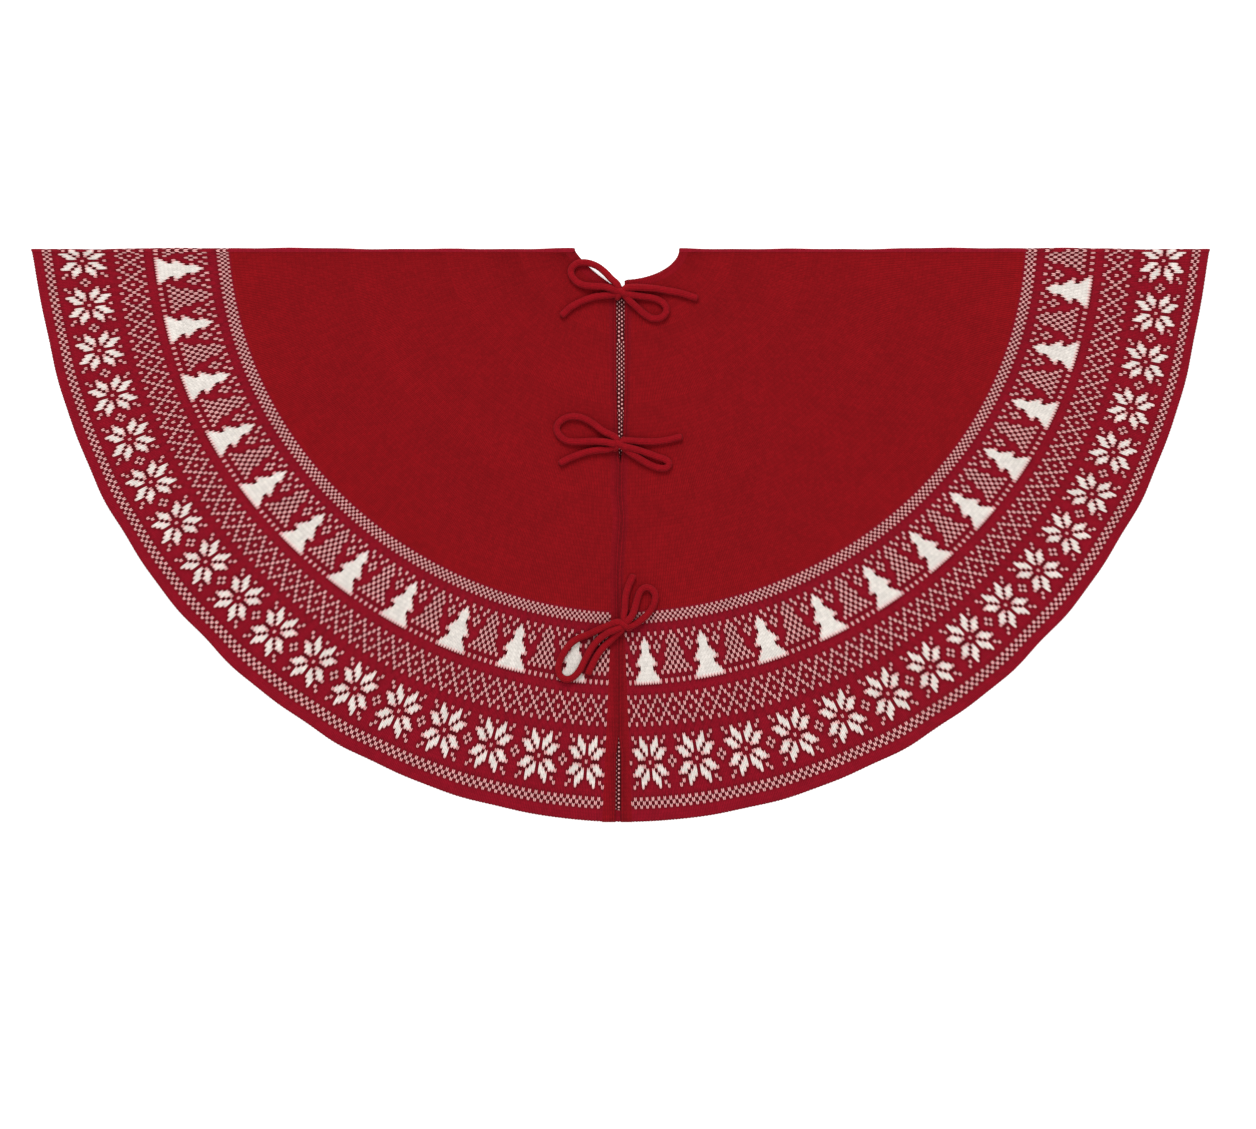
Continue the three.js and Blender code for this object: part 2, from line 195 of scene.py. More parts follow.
# Each bow's knot and its four strands, x and y from the fold's middle and z above the cloth.
BOWS = {
    "top": {
        "knot": (1, -47.5),
        "left_loop": ((-3.5, -39.5, 10.5), (-9.4, -34, 8.5), (-15.6, -27.2, 6.5), (-24, -20.6, 5),
                      (-34, -17, 4), (-43.5, -17.2, 3.8), (-50, -21.8, 3.8), (-50.9, -29, 3.8),
                      (-45.9, -36.1, 4.2), (-38.3, -39.9, 5), (-27.8, -41.3, 6.2), (-17.2, -41.9, 8.5),
                      (-9.5, -44, 10.5)),
        "left_tail": ((-4, -49.5, 6.6), (-12.4, -50.5, 6.2), (-20, -51.2, 4.8), (-27.8, -52.4, 3.9),
                      (-39.5, -56.4, 3.8), (-51.2, -62.7, 3.8), (-61.2, -71.9, 3.8)),
        "right_loop": ((6, -49.5, 8.5), (12.2, -50.4, 7), (18.5, -51.3, 5.2), (26, -52.2, 4.2),
                       (35.6, -54, 3.8), (44, -58.4, 3.8), (47.7, -65.4, 3.8), (43.9, -72.4, 3.8),
                       (34.5, -74.6, 3.8), (25.1, -70.1, 4), (16.9, -63, 5.4), (9.6, -56.2, 7)),
        "right_tail": ((5, -43.5, 9), (12, -42.6, 8), (21.6, -42.6, 6.2), (34.5, -43.4, 4.6),
                       (48.6, -45.6, 3.8), (62.7, -48.4, 3.8), (77.9, -53.1, 3.8)),
    },
    "middle": {
        "knot": (-1.5, -204),
        "left_loop": ((-5, -197.5, 10.5), (-16.7, -191.5, 8), (-26.1, -184.6, 5.6), (-34.4, -179.3, 4.2),
                      (-43.9, -176, 3.8), (-54.5, -176.3, 3.8), (-62.8, -181.1, 3.8), (-66, -187.6, 3.8),
                      (-63.4, -194.7, 3.8), (-56.9, -200.1, 3.8), (-48.6, -201.8, 4), (-37.9, -201.6, 5),
                      (-26.1, -201.2, 7.6), (-14.8, -202.2, 10.4), (-8, -203.6, 11)),
        "left_tail": ((-6, -206.5, 6.6), (-13.4, -209.6, 5.6), (-21.3, -210, 4.8), (-33.3, -212, 3.9),
                      (-45.1, -215.8, 3.8), (-54.5, -219.6, 3.8), (-61.6, -223.5, 3.8)),
        "right_loop": ((1.5, -206.4, 10), (9, -208, 8.6), (15.8, -209.6, 6.8), (26.4, -213, 4.4),
                       (36.9, -216.8, 3.8), (46.3, -220, 3.8), (50.4, -224.6, 3.8), (46.6, -229, 3.8),
                       (37.4, -228.2, 3.8), (28, -224.2, 4), (18.6, -218.6, 5), (7.6, -211.4, 6)),
        "right_tail": ((2, -201.1, 7.4), (8, -200.5, 7), (15.3, -201, 6), (27.1, -201.6, 4.2),
                       (39, -201.4, 3.8), (50.9, -199.4, 3.8), (63.8, -196.2, 3.8)),
    },
    "bottom": {
        "knot": (3.5, -391),
        "left_loop": ((-4, -388, 11), (-11.9, -391.2, 9), (-22.6, -395.8, 6), (-33.2, -400.6, 4.4),
                      (-42.7, -404.4, 3.8), (-50.4, -409.3, 3.8), (-56.9, -417, 3.8), (-61.6, -425.9, 3.8),
                      (-64.2, -434.1, 3.8), (-63, -442.4, 3.8), (-56.3, -447.2, 3.8), (-48.6, -444.8, 3.8),
                      (-42.4, -438, 3.8), (-38.2, -430.2, 3.8), (-34.4, -422.5, 3.8), (-29.8, -414.6, 4),
                      (-23.2, -406.6, 5.4), (-13.7, -399.4, 8.8), (-5.5, -395.6, 10.6)),
        "left_tail": ((0.6, -396.5, 6.6), (-5, -401.6, 5.4), (-11, -407.4, 4), (-17.4, -413.8, 3.8),
                      (-22.9, -420.9, 3.8), (-27.1, -428.3, 3.8), (-30.8, -435.8, 3.8), (-33.8, -442.3, 3.8)),
        "right_loop": ((9.5, -392, 8), (15, -390, 6.6), (21.6, -385.6, 4.6), (29, -378.9, 3.8),
                       (34.3, -370, 3.8), (36, -361, 3.8), (32.2, -354, 3.8), (25.4, -352.2, 3.8),
                       (19.9, -357, 3.8), (17.2, -364.9, 4), (15.1, -372.6, 5.4), (13, -379.4, 8.2),
                       (9.4, -384.8, 10.2)),
        "right_tail": ((3.6, -386, 6.4), (3.8, -380.5, 5), (4.6, -376, 4.2), (4.8, -368.5, 3.8),
                       (5.6, -360.5, 3.8), (7.8, -352.2, 3.8), (11, -344.6, 3.8), (13.6, -338.8, 3.8)),
    },
}

# The turns of a knot, round its middle.
KNOT_TURNS = (
    ((-6.5, 3.6, -4.2), (-4.8, 3.2, 0.6), (-1.8, 1.4, 2.9),
     (1.8, -1.2, 2.9), (4.8, -3.2, 0.6), (6.5, -3.8, -4.2)),
    ((-4.4, -5.6, -4.0), (-3.4, -4.2, -0.6), (-0.6, -1.4, 1.2),
     (2.4, 1.6, 1.0), (4.6, 4.2, -0.8), (5.0, 5.4, -4.0)),
    ((-6.8, -0.6, -1.4), (-2.5, -1.4, -2.6), (2.5, 1.2, -2.6), (6.8, 0.8, -1.4)),
)

# The camera, straight above through a long lens, the lights and the floor, in metres.
VIEW_X = 0.0078
VIEW_Y = -0.031
VIEW_DISTANCE = 4.0
LENS = 110.7

FLOOR_GLOW = 0.42
WORLD_LIGHT = 0.72
FLOOR_SIDE = 6.0  # half the floor's side
FLOOR_LOW = -0.0004  # the floor's height, just under the cloth

# Yarn colours, as sRGB values.
FIELD_RED = (119, 8, 15)
BORDER_RED = (123, 10, 27)
EDGE_RED = (120, 8, 19)
CORD_RED = (126, 8, 19)
# Painted shade: the wrong side's red, and the wrong side's cream below, are the same yarns darkened as shade
# down in the slit's gap.
SHADED_INSIDE_RED = (66, 8, 14)
CREAM = (206, 199, 192)
LONE_CREAM = (202, 150, 148)
# Painted shade: the wrong side's cream, darkened as shade in the slit's gap.
SHADED_INSIDE_CREAM = (196, 140, 138)


# ---------------------------------------------------------------- outlines

def stops(table, value):
    """A straight line through a table's stops."""
    xs, ys = zip(*table)
    return np.interp(value, xs, ys)


def rise(x, y):
    """How far the loose cloth stands up in its slack waves, away from the slit and the fold."""
    waves = np.sin(x / 61 + y / 97) + np.sin(y / 53 - x / 83 + 1.7) + np.sin((x + y) / 127 + 0.6)
    calm = np.clip((np.abs(x) - SLACK_START) / SLACK_GROWTH, 0, 1) * np.clip(-y / SLACK_FOLD, 0, 1)
    return calm * SLACK_HEIGHT * (waves / 3 + 1) / 2


def ring_radius(side, share, angle):
    """A ring's radius at an angle below the fold: the knitting drifts outwards towards the fold, and the hem
    wobbles a little between the fold and the slit."""
    flare = HEM_FLARE * np.clip(1 - angle / FLARE_ANGLE, 0, None) ** 2 * share**4
    hem = HEM_RADIUS * (1 - DRAWN_IN[side] * np.sin(2 * angle))
    reach = 1 - np.exp((share - 1) / DRIFT_FADE)
    dip = DRIFT_DIP[side] * np.exp(-(((share - BORDER_START) / DIP_WIDTH) ** 2))
    drift = (DRIFT[side] * reach - dip) * np.clip(np.cos(angle), 0, 1) ** DRIFT_POWER
    wobble = 0.7 * np.sin(angle * 31) + 0.5 * np.sin(angle * 53 + 2)
    return (share + drift) * hem + flare + wobble * np.clip(share, 0, 1) ** 12 * np.sin(2 * angle)


def fold_angle(side, share):
    """The angle at which a ring meets the fold."""
    return np.arcsin(FOLD_DROP / ring_radius(side, share, 0.0))


def fold_reach(side, share):
    """How far along the fold a ring meets it."""
    angle = fold_angle(side, share)
    return ring_radius(side, share, angle) * np.cos(angle)


def pull(side, along):
    """Radians by which the stitches of a side lie out of their even spacing round the skirt."""
    if side == "left":
        return -np.radians(PULL["left"]) * np.sin(math.pi * along**1.5)
    taper = np.clip(along / 0.06, 0, 1) * np.clip((1 - along) / 0.04, 0, 1)
    return np.radians(PULL["right"]) * np.cos(2 * math.pi * along / 0.9) * taper


def ring_quarter(side, share, along, edge):
    """Points of a ring from the slit (along 0) to the fold (along 1). edge gives its start, at a depth, from
    the slit's middle."""
    r = share * HEM_RADIUS
    first = np.arccos(edge(r - FOLD_DROP) / r)
    last = fold_angle(side, share)
    angle = first + (last - first) * along + pull(side, along)
    r = ring_radius(side, share, angle)
    return r * np.cos(angle), np.minimum(FOLD_DROP - r * np.sin(angle), 0)


def neck_at(side, x):
    """How far below the fold the front's neck is, at a distance from the slit's middle."""
    neck = NECK[side]
    rounding = neck["corner"] * np.clip(1 - x / CORNER_WIDTH, 0, None) ** 2
    full = neck["fullness"]
    return neck["drop"] * np.clip(1 - (x / neck["reach"]) ** full, 0, None) ** (1 / full) + rounding


def front_neck(side, offset):
    """The neck's line from the slit band to the fold, moved away from the neck's middle by offset. Beside the
    band it moves straight down, and further on square to itself."""
    reach = NECK[side]["reach"]
    near = stops(BAND_EDGE[side], NECK[side]["drop"])
    turn = np.linspace(math.acos(near / reach), 0, NECK_STEPS + 1)
    x = reach * np.cos(turn)
    y = -neck_at(side, x)
    dx, dy = np.gradient(x), np.gradient(y)
    size = np.hypot(dx, dy)
    sideways = np.clip(np.linspace(0, 4, NECK_STEPS + 1), 0, 1)
    x, y = x + sideways * offset * dy / size, y - offset * dx / size
    x[0], y[-1] = near, 0
    x[-1] = reach + offset
    return x, np.minimum(y, 0)


def front_neck_quarter(side):
    """Points of the front's neck edge. offset is outwards from the hole, and along runs from slit to fold."""
    lines = [front_neck(side, offset) for offset in (0, NECK_BAND)]

    def place(offset, along):
        at = along * NECK_STEPS
        known = np.arange(NECK_STEPS + 1)
        near, far = [[np.interp(at, known, axis) for axis in line] for line in lines]
        share = offset / NECK_BAND
        return [a + (b - a) * share for a, b in zip(near, far)]

    return place


def back_neck_quarter(side):
    """The same for the back's neck edge, from the back's middle to the fold."""
    sign = 1 if side == "right" else -1

    def place(offset, along):
        half = BACK_NECK["half"] + offset
        middle = BACK_NECK["middle"] * sign
        first = np.arccos(-middle / half)
        turn = first * (1 - along)
        return middle + half * np.cos(turn), -(BACK_NECK["drop"] + offset) * np.sin(turn)

    return place


# ---------------------------------------------------------------- knitting

class Patch:
    """A stretch of stitches. place gives the points at rows and columns, and white which stitches are white.
    A stitch has across by deep faces, and its legs slant by chevron. wrap joins the last column to the first.
    shade gives the painted shade that darkens the yarn at a column."""

    def __init__(self, place, rows, columns, white=None, across=4, deep=1, chevron=0.5, relief=RELIEF,
                 wrap=False, shade=None):
        self.place = place
        self.rows = rows
        self.columns = columns
        self.white = np.zeros((rows, columns)) if white is None else white
        self.across = across
        self.deep = deep
        self.chevron = chevron
        self.relief = relief
        self.wrap = wrap
        self.shade = shade

    def points(self, sign):
        """The corners of the patch's faces, and the rows and columns that they are at."""
        row = np.arange(self.rows * self.deep + 1) / self.deep
        row = np.unique(np.concatenate([row, (END_ROW, self.rows - END_ROW)]))
        column = np.arange(self.columns * self.across + 1) / self.across
        lean = self.chevron * (1 - np.abs(2 * (column % 1) - 1))
        straight = np.clip(np.minimum(row / END_ROW, self.rows - row), 0, 1)
        at = row[:, None] + straight[:, None] * lean[None, :]
        hold = np.clip(np.minimum(row, self.rows - row) / END_ROW, 0, 1)
        columns = np.broadcast_to(column[None, :], at.shape)
        flat = np.stack(self.place(at, columns), -1)
        down = np.gradient(flat, axis=0)
        if self.wrap:
            inner = flat[:, :-1]
            side = np.roll(inner, -1, 1) - np.roll(inner, 1, 1)
            side = np.concatenate([side, side[:, :1]], 1)
        else:
            side = np.gradient(flat, axis=1)
        normal = np.cross(down, side) * sign
        normal /= np.maximum(np.linalg.norm(normal, axis=-1, keepdims=True), 1e-9)
        height = self.height(row, column) * hold[:, None]
        return flat + normal * height[..., None], row, column

    def height(self, row, column):
        """How far each corner stands out of the cloth's surface."""
        wave = np.array(self.relief)
        step = np.arange(len(column)) * len(wave) // self.across % len(wave)
        near = np.clip((column - 1e-6).astype(int), 0, self.columns - 1)
        above = np.clip((row - 1e-6).astype(int), 0, self.rows - 1)
        return wave[step][None, :] + WHITE_PROUD * self.white[np.ix_(above, near)]

    def build(self, sign):
        """The patch's points, faces and stitch coordinates, which faces are white, how much white is at each
        point, and how much painted shade darkens the red yarn there."""
        points, row, column = self.points(sign)
        rows, columns = points.shape[:2]
        width = columns
        if self.wrap:
            points = points[:, :-1]
            width = columns - 1
        i, j = np.meshgrid(np.arange(rows - 1), np.arange(columns - 1), indexing="ij")
        corners = [(i, j), (i + 1, j), (i + 1, j + 1), (i, j + 1)]
        if sign < 0:
            corners.reverse()
        quads = np.stack([a * width + b % width for a, b in corners], -1)
        uv = np.stack([np.stack([column[b], row[a]], -1) for a, b in corners], -2)
        stitch = [((line[1:] + line[:-1]) / 2).astype(int) for line in (row, column)]
        white = self.white[np.ix_(*stitch)]
        padded = np.pad(white, 1, mode="edge")
        cover = (padded[:-1, :-1] + padded[1:, :-1] + padded[:-1, 1:] + padded[1:, 1:]) / 4
        # near: painted shade on the red yarn beside white stitches, the white cover blurred over five
        # columns.
        padded = np.pad(cover, ((0, 0), (2, 2)), mode="edge")
        near = sum(padded[:, k:k + columns] for k in range(5)) / 5
        if self.shade:
            near = near + self.shade(column)
        cover, near = cover[:, :width], near[:, :width]
        return (points.reshape(-1, 3), quads.reshape(-1, 4), uv.reshape(-1, 2), white.reshape(-1),
                cover.reshape(-1), near.reshape(-1))


def knit(name, patches, sign, material, hand=1):
    """One mesh of knitted stitches. sign is 1 where rows by columns already point out of the cloth, and hand
    is -1 where the columns are counted to the left."""
    points, quads, uv, white, cover, near = zip(*[patch.build(sign) for patch in patches])
    start = np.cumsum([0] + [len(made) for made in points[:-1]])
    quads = np.concatenate([made + first for made, first in zip(quads, start)])
    points, uv, white, cover, near = [np.concatenate(made) for made in (points, uv, white, cover, near)]
    points = (points + (0, FOLD_Y, 0)) * MM
    uv = uv * (hand, 1)
    mesh = bpy.data.meshes.new(name)
    mesh.vertices.add(len(points))
    mesh.vertices.foreach_set("co", points.ravel())
    mesh.loops.add(quads.size)
    mesh.loops.foreach_set("vertex_index", quads.ravel().astype(np.int32))
    mesh.polygons.add(len(quads))
    mesh.polygons.foreach_set("loop_start", np.arange(0, quads.size, 4, dtype=np.int32))
    mesh.update(calc_edges=True)
    mesh.shade_smooth()
    mesh.uv_layers.new(name="Stitch").data.foreach_set("uv", uv.ravel())
    # near carries the painted shade on the red yarn, beside white stitches and down the slit.
    attributes = (("white", "FACE", white), ("cover", "POINT", cover), ("near", "POINT", near))
    for label, domain, values in attributes:
        mesh.attributes.new(label, "FLOAT", domain).data.foreach_set("value", values.astype(np.float32))
    mesh.materials.append(material)
    piece = bpy.data.objects.new(name, mesh)
    bpy.context.scene.collection.objects.link(piece)
    return piece


def band_rows(bands, start):
    """The shares of the radius at a run of bands' rows."""
    edges = [start]
    for end, rows, _ in bands:
        first = edges[-1]
        edges += [first + (end - first) * (i + 1) / rows for i in range(rows)]
    return edges


def chart(bands, columns, side, shift=0):
    """Which stitches are white in a run of bands, counted from the slit or the back's middle."""
    made = []
    column = np.arange(columns) + shift
    for _, rows, pattern in bands:
        for row in range(rows):
            made.append(PATTERNS[pattern](row, column, side))
    return np.array(made, float)


def plain(row, column, side):
    return column * 0


def check(row, column, side):
    return (row + column) % 2


def trees(row, column, side):
    """White trees with dots of white between them."""
    half, dots = TREE_ROWS[row]
    away = (column - FIRST_TREE[side]) % TREE_REPEAT
    away = np.minimum(away, TREE_REPEAT - away)
    return (away <= half) | np.isin(away, dots)


def from_chart(lines, row, column):
    """A pattern that is drawn in lines, with an X for each white stitch."""
    stitches = np.array([mark == "X" for mark in lines[row]])
    return stitches[column % len(stitches)]


def lattice(row, column, side):
    return from_chart(LATTICE, row, column)


def flakes(row, column, side):
    return from_chart(FLAKE, row, column - FIRST_FLAKE[side] + FLAKE_MIDDLE)


PATTERNS = {"plain": plain, "check": check, "trees": trees, "lattice": lattice, "flakes": flakes}


def birdseye(rows, columns):
    """The wrong side of two-colour double knit: the two yarns alternate in every row."""
    row, column = np.meshgrid(np.arange(rows), np.arange(columns), indexing="ij")
    return ((row + column) % 2).astype(float)


def slit_edge(side, front):
    """The distance from the slit's middle at which the panels on that side start."""
    if front:
        return lambda depth: stops(BAND_EDGE[side], depth)
    return lambda depth: depth * 0


def neck_quarter(side, front):
    """The function that places the points of a quarter's neck edge."""
    return front_neck_quarter(side) if front else back_neck_quarter(side)


def surface(front, face):
    """The height of a layer's right or wrong side."""
    return SURFACES["front" if front else "back"]["face" if face else "inside"]


def lie(side, front, x, y, z, outer):
    """A point in place: mirrored to its side, raised by the slack, and drawn in at the fold. outer is 1 on
    the cloth's right side and 0 on its wrong side."""
    x = x if side == "right" else -x
    pulled = FOLD_PULL["inside"] + (FOLD_PULL["face"] - FOLD_PULL["inside"]) * outer
    z = z + (1.0 if front else BACK_SLACK) * rise(x, y)
    if front:
        x = x + stops(WANDER, -y) * np.exp(-((x / WANDER_WIDTH) ** 2))
    return x, y - pulled * np.exp(y / FOLD_REACH), z


def stitch_style(front, face):
    """How the stitches are shaped on a layer's right or wrong side; what lies underneath is simpler."""
    if not face:
        return {"across": 2, "chevron": 0.0, "relief": PURL_RELIEF}
    return {} if front else {"across": 2, "relief": HIDDEN_RELIEF}


def field_patches(side, front, face):
    """The plain field of a quarter, from the neck to the border."""
    z = surface(front, face)
    neck = neck_quarter(side, front)
    edge = slit_edge(side, front)
    style = stitch_style(front, face)

    def patch(start, end, rows, columns):
        def place(row, column):
            share = start + (end - start) * row / rows
            along = column / columns
            near = neck(NECK_BAND, along)
            far = ring_quarter(side, BORDER_START, along, edge)
            x, y = [a + (b - a) * share for a, b in zip(near, far)]
            return lie(side, front, x, y, z, 1.0 if face else 0.0)

        white = None if face else birdseye(rows, columns)
        return Patch(place, rows, columns, white, **style)

    return [patch(*zone) for zone in FIELD_ZONES]


def border_chart(side, front, bands, columns):
    """The white stitches of a quarter's border. The back's pattern runs on across its middle."""
    if front:
        return chart(bands, columns, side)
    if side == "right":
        return chart(bands, columns, "right")
    return chart(bands, columns, "right", -columns)[:, ::-1]


def border_patches(side, front, face):
    """The patterned border of a quarter, from the field to the hem."""
    z = surface(front, face)
    edge = slit_edge(side, front)
    style = stitch_style(front, face)

    def patch(bands, start, columns):
        shares = band_rows(bands, start)
        rows = len(shares) - 1

        def place(row, column):
            share = np.interp(row, np.arange(rows + 1), shares)
            x, y = ring_quarter(side, share, column / columns, edge)
            return lie(side, front, x, y, z, 1.0 if face else 0.0)

        white = border_chart(side, front, bands, columns) if face else birdseye(rows, columns)
        return Patch(place, rows, columns, white, **style)

    inner = patch(INNER_BANDS, BORDER_START, INNER_COLUMNS)
    return [inner, patch(OUTER_BANDS, INNER_BANDS[-1][0], OUTER_COLUMNS)]


def turned(step, width, flat, half=LAYER / 2):
    """The reach and height (1 to -1) round a turned edge: flat steps out, the bend's steps, flat steps back.
    half is how far from the edge the turn starts."""
    reach = width - half
    turn = np.clip((step - flat) / BEND_STEPS, 0, 1) * math.pi
    out = reach * np.clip(step / flat, 0, 1)
    back = reach * np.clip((step - flat - BEND_STEPS) / flat, 0, 1)
    return out - back + half * np.sin(turn), np.cos(turn)


def layer_height(front, side_up):
    """The height of a point of a layer; side_up is 1 on its right side and -1 on its wrong side."""
    if front:
        return FRONT_Z + LAYER / 2 * (1 + side_up)
    return BACK_LIFT + LAYER / 2 * (1 - side_up)


def hem_patches(side, front):
    """The turned hem of a quarter."""
    edge = slit_edge(side, front)
    width = (1 - HEM_START) * HEM_RADIUS
    flat = 3

    def place(row, column):
        reach, up = turned(row, width, flat)
        share = HEM_START + reach / HEM_RADIUS
        x, y = ring_quarter(side, share, column / OUTER_COLUMNS, edge)
        return lie(side, front, x, y, layer_height(front, up), (up + 1) / 2)

    return [Patch(place, 2 * flat + BEND_STEPS, OUTER_COLUMNS, across=2, deep=2, relief=HEM_RELIEF)]


def neck_patches(side, front):
    """The turned neck edge of a quarter."""
    neck = neck_quarter(side, front)
    flat = 2

    def place(row, column):
        reach, up = turned(row, NECK_BAND, flat)
        x, y = neck(NECK_BAND - reach, column / NECK_COLUMNS)
        return lie(side, front, x, y, layer_height(front, up), (up + 1) / 2)

    return [Patch(place, 2 * flat + BEND_STEPS, NECK_COLUMNS, deep=2, relief=NECK_RELIEF)]


def slit_patches(side):
    """The turned band along the slit, from the neck to the hem."""
    flat = 3
    closed = 0.5  # the share of the band's first and last row in which its two sides meet
    top_edge, top_slit = stops(BAND_EDGE[side], SLIT_TOP), stops(SLIT, SLIT_TOP)

    def place(row, column):
        reach, _ = turned(column, top_edge - top_slit, flat, SLIT_ROUND)
        top = neck_at(side, top_edge - reach)
        depth = top + (HEM_DEPTH - top) * row / SLIT_ROWS
        outer, inner = stops(BAND_EDGE[side], depth) + BAND_LAP, stops(SLIT, depth)
        reach, up = turned(column, outer - inner, flat, SLIT_ROUND)
        ends = np.clip(np.minimum(row, SLIT_ROWS - row) / closed, 0, 1)
        return lie(side, True, outer - reach, -depth, layer_height(True, up * ends), (up + 1) / 2)

    # The slit's painted shade, growing across the band's stitches towards the slit.
    def shade(column):
        start, end = SHADE_COLUMNS
        return SLIT_SHADE * np.clip((column - start) / (end - start), 0, 1)

    return [Patch(place, SLIT_ROWS, 2 * flat + BEND_STEPS, deep=2, relief=SLIT_RELIEF, shade=shade)]


def roll_patches(side):
    """The turn of the cloth round the fold, from the neck to the hem, on one side. It bulges unevenly."""
    columns = 4
    tip = 2.5  # how far from its ends the roll gets thinner
    over = 0.8  # how far it stands out past the hem
    start = NECK[side]["reach"]
    far = fold_reach(side, 1.0)
    end = far + over

    def patch(edges, white):
        rows = len(edges) - 1

        def place(row, column):
            x = np.interp(row, np.arange(rows + 1), edges)
            ends = np.clip(np.minimum(x - start, end - x) / tip, 0, 1)
            size = np.sqrt(1 - (1 - ends) ** 2)
            turn = column / columns * math.pi
            bulge = 1 + 0.1 * np.sin(x / 23) + 0.05 * np.sin(x / 9 + 1) + 0.15 * np.sin(x / 67 + 2)
            inner = FOLD_PULL["inside"] + (FOLD_PULL["face"] - FOLD_PULL["inside"]) * size
            y = FOLD_AXIS_Z * size * np.sin(turn) * bulge - inner
            z = FOLD_AXIS_Z + FOLD_AXIS_Z * size * np.cos(turn)
            return (x if side == "right" else -x), y, z

        return Patch(place, rows, columns, white, relief=ROLL_RELIEF)

    def from_bands(bands, first):
        shares = band_rows(bands, first)
        total = INNER_COLUMNS if bands is INNER_BANDS else OUTER_COLUMNS
        return patch([fold_reach(side, s) for s in shares], chart(bands, columns, side, total))

    plain_edges = [start, start + 0.7, start + 1.6]
    plain_edges += list(np.linspace(start + 3, fold_reach(side, BORDER_START), 79))
    hem_edges = list(np.linspace(fold_reach(side, HEM_START), far - 2.5, 4)) + [far - 1.2, far - 0.2, end]
    return [
        patch(plain_edges, None),
        from_bands(INNER_BANDS, BORDER_START),
        from_bands(OUTER_BANDS, INNER_BANDS[-1][0]),
        patch(hem_edges, None),
    ]


def crease_patch(side):
    """The strip between the wrong sides of both layers along the fold."""
    rows = 240
    start, end = NECK[side]["reach"] + 1, fold_reach(side, 1.0) - 1
    low, high = surface(False, False), surface(True, False)

    def place(row, column):
        x = start + (end - start) * row / rows
        z = low + (high - low) * column
        return (x if side == "right" else -x), 0 * x - FOLD_PULL["inside"], z

    return Patch(place, rows, 1, across=1, chevron=0.0, relief=(0.0,))


# ---------------------------------------------------------------- cords

def smooth_route(points, spacing):
    """A smooth curve through the points, at even spacing."""
    points = np.array(points, float)
    padded = np.vstack([2 * points[0] - points[1], points, 2 * points[-1] - points[-2]])
    made = []
    for a, b, c, d in zip(padded, padded[1:], padded[2:], padded[3:]):
        for t in np.linspace(0, 1, 24, endpoint=False):
            square = (2 * a - 5 * b + 4 * c - d) * t**2
            cube = (3 * b - a - 3 * c + d) * t**3
            made.append(0.5 * (2 * b + (c - a) * t + square + cube))
    made.append(points[-1])
    made = np.array(made)
    run = np.concatenate([[0], np.cumsum(np.linalg.norm(np.diff(made, axis=0), axis=1))])
    count = max(4, round(run[-1] / spacing))
    at = np.linspace(0, run[-1], count + 1)
    return np.stack([np.interp(at, run, made[:, k]) for k in range(3)], -1)


def frames(route):
    """Two directions square to the route at each of its points, that turn as little as they can."""
    along = np.gradient(route, axis=0)
    along /= np.linalg.norm(along, axis=1, keepdims=True)
    side = np.zeros_like(route)
    first = np.cross(along[0], (0.0, 0.0, 1.0))
    side[0] = first / np.linalg.norm(first)
    for i in range(1, len(route)):
        kept = side[i - 1] - along[i] * side[i - 1].dot(along[i])
        side[i] = kept / np.linalg.norm(kept)
    return along, side, np.cross(along, side)


def tube_patches(route, radius, flat=1.0, twist=0.0):
    """A knitted tube along a route whose points are half a stitch row apart, with rounded ends."""
    end_length = 0.7  # in radii
    end_hole = 0.02
    along, side, up = frames(route)
    rows = (len(route) - 1) // 2
    route, along, side, up = [a[: 2 * rows + 1] for a in (route, along, side, up)]
    known = np.arange(2 * rows + 1)

    def at(values, where):
        return np.stack([np.interp(where, known, values[:, k]) for k in range(3)], -1)

    def ring_of(where, column, size, push):
        turn = -2 * math.pi * (column / CORD_WALES + twist * where)
        a = at(side, where) * np.cos(turn)[..., None] * size[..., None]
        b = at(up, where) * np.sin(turn)[..., None] * size[..., None] * flat
        points = at(route, where) + a + b + at(along, where) * push[..., None]
        return points[..., 0], points[..., 1], points[..., 2]

    def body(row, column):
        where = row * 2
        return ring_of(where, column, np.full(where.shape, radius), np.zeros(where.shape))

    def cap(first):
        def place(row, column):
            share = row / 2
            turn = (1 - share if first else share) * math.pi / 2
            where = np.full(row.shape, 0.0 if first else 2.0 * rows)
            push = radius * end_length * np.sin(turn) * (-1 if first else 1)
            return ring_of(where, column, np.maximum(radius * np.cos(turn), end_hole), push)

        return Patch(place, 2, CORD_WALES, deep=2, chevron=0.0, relief=CORD_END_RELIEF, wrap=True)

    tube = Patch(body, rows, CORD_WALES, deep=2, relief=CORD_RELIEF, wrap=True)
    return [tube, cap(True), cap(False)], route


def lifted(points):
    """A route's points, from heights above the cloth to heights above the floor."""
    return [(x, y, z + CLOTH_TOP) for x, y, z in points]


# ---------------------------------------------------------------- materials

def linear(colour):
    """An sRGB colour as the linear values that a shader takes."""
    values = [c / 255 for c in colour]
    return [c / 12.92 if c <= 0.04045 else ((c + 0.055) / 1.055) ** 2.4 for c in values] + [1]


